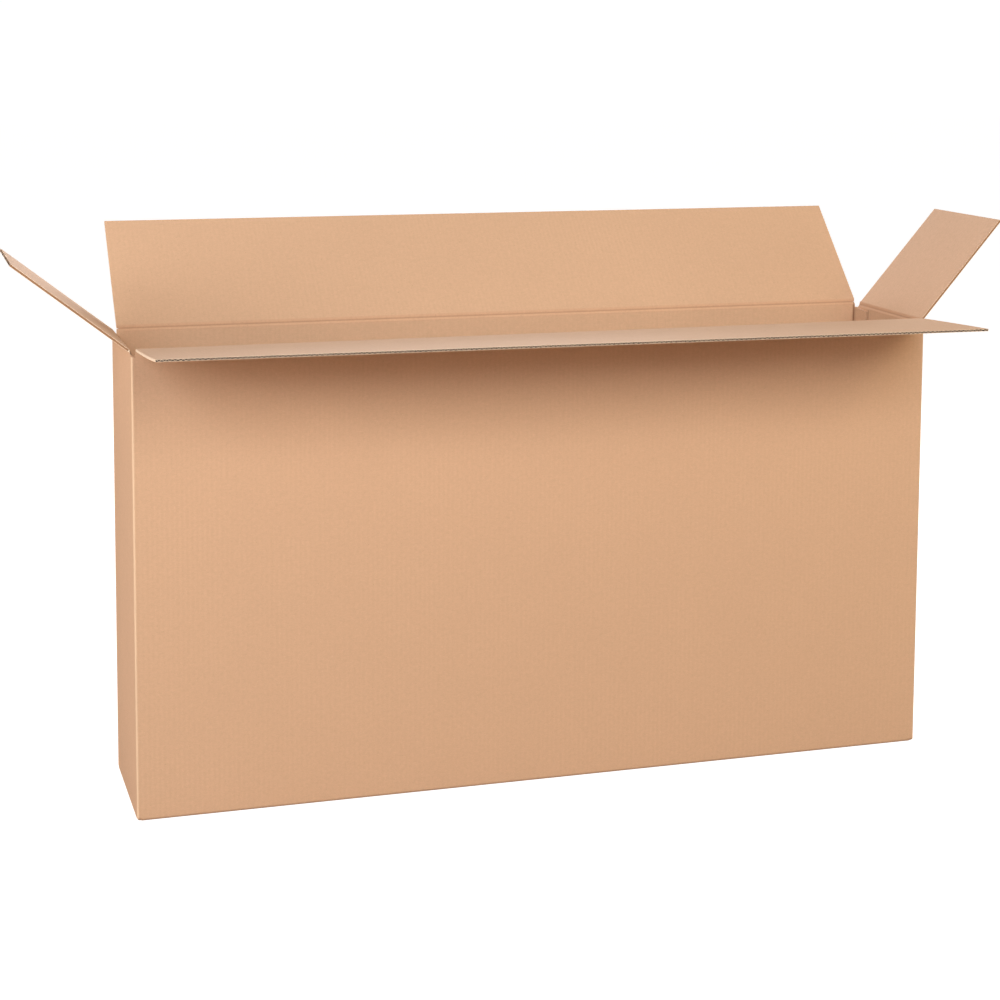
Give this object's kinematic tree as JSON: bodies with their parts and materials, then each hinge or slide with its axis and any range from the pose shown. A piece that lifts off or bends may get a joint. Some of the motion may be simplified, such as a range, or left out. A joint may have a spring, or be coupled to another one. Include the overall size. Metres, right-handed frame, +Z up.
{
  "type": "side-loading box",
  "caption": "Long, narrow side-loading carton of single-wall corrugated board with a closed glued base, a glued corner seam and full-overlap top flaps folded open on their creases.",
  "frame": {"origin": "middle of the base, on the floor, under the centre of the four walls", "axes": "+X along the long panels, to the right as seen from the front; +Y from the front panel to the back panel; +Z up out of the mouth"},
  "size_m": [1.3954, 0.529, 0.7597],
  "materials": {
    "kraft_board": "matte"
  },
  "bodies": {
    "carton": {"carton_body": "kraft_board"},
    "front_flap": {"front_flap": "kraft_board"},
    "back_flap": {"back_flap": "kraft_board"},
    "left_flap": {"left_flap": "kraft_board"},
    "right_flap": {"right_flap": "kraft_board"}
  },
  "joints": [
    {"name": "front_flap_crease", "type": "hinge", "parent": "carton", "child": "front_flap", "pos_m": [0, -0.1048, 0.6192], "axis": [1, 0, 0], "range_deg": [-166.5, 83.5]},
    {"name": "back_flap_crease", "type": "hinge", "parent": "carton", "child": "back_flap", "pos_m": [0, 0.1048, 0.6192], "axis": [-1, 0, 0], "range_deg": [-134.5, 125.5]},
    {"name": "left_flap_crease", "type": "hinge", "parent": "carton", "child": "left_flap", "pos_m": [-0.562, 0, 0.6157], "axis": [0, -1, 0], "range_deg": [-142, 118]},
    {"name": "right_flap_crease", "type": "hinge", "parent": "carton", "child": "right_flap", "pos_m": [0.562, 0, 0.6157], "axis": [0, 1, 0], "range_deg": [-131, 129]}
  ]
}
